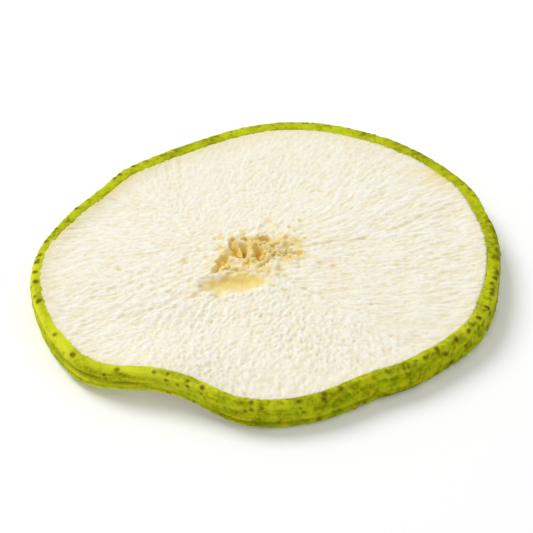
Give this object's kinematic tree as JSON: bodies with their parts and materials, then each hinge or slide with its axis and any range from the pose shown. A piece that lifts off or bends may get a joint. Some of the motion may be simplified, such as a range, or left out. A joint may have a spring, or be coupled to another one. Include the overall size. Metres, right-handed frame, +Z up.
{
  "type": "freeze-dried pear slice",
  "caption": "Round cross-section slice of a freeze-dried green pear, pale fibrous flesh with a torn tan core, rimmed by its peel.",
  "frame": {"origin": "on the ground, under the centre of the slice's outline as seen from above", "axes": "+Z up, out of the cut face that shows; +Y towards the far rim; the dent in the rim is at the left front, at -X -Y"},
  "size_m": [0.0666, 0.0662, 0.0053],
  "materials": {
    "flesh": "matte",
    "peel": "satin",
    "core": "matte"
  },
  "bodies": {
    "root": {"pear_slice": "flesh"}
  },
  "joints": []
}
